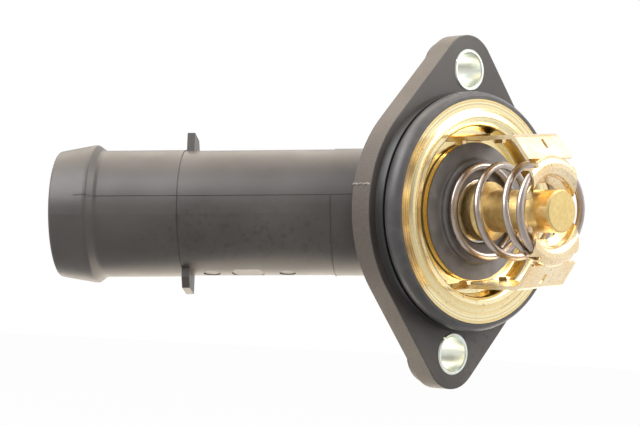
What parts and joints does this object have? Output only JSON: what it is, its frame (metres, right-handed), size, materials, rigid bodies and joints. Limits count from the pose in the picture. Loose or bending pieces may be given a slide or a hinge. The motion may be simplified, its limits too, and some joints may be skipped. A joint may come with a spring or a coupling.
{
  "type": "engine thermostat",
  "caption": "Engine thermostat in a moulded housing: a bolted flange with a rubber seal, a long angled hose neck and a wax valve held by a coil spring under a folded brass bridge.",
  "frame": {"origin": "centre of the bolt pattern on the flange's mounting face, on the valve axis", "axes": "+X along the valve axis, out of the mounting face towards the engine; +Z along the line of the bolts; the hose neck leaves towards -X and -Y"},
  "size_m": [0.1163, 0.1097, 0.0874],
  "materials": {
    "moulded_plastic": "glass-filled, slightly glossy black",
    "zinc_sleeve": "zinc plated",
    "black_rubber": "smooth moulded rubber",
    "sheet_brass": "bright rolled sheet",
    "turned_brass": "turned",
    "ground_steel": "ground",
    "spring_steel": "drawn wire, bright",
    "wax": "wax filled with copper powder",
    "white_plastic": "plain"
  },
  "bodies": {
    "frame": {"housing": "moulded_plastic", "upper_bolt_sleeve": "zinc_sleeve", "lower_bolt_sleeve": "zinc_sleeve", "flange_seal": "black_rubber", "seat_flange": "sheet_brass", "piston_bridge": "sheet_brass", "piston": "ground_steel", "spring_bridge": "sheet_brass", "main_spring": "spring_steel"},
    "valve": {"valve_core": "sheet_brass", "valve_rubber": "black_rubber", "disc_retainer": "ground_steel", "wax_cup": "turned_brass", "wax_charge": "wax", "rubber_boot": "black_rubber", "guide_bush": "turned_brass", "backup_washer": "white_plastic"}
  },
  "joints": [
    {"name": "valve_lift", "type": "slide", "parent": "frame", "child": "valve", "axis": [1, 0, 0], "range_m": [0, 0.008], "stiffness_N_per_m": 3000, "springref_m": -0.004, "deforming": ["main_spring"]}
  ]
}
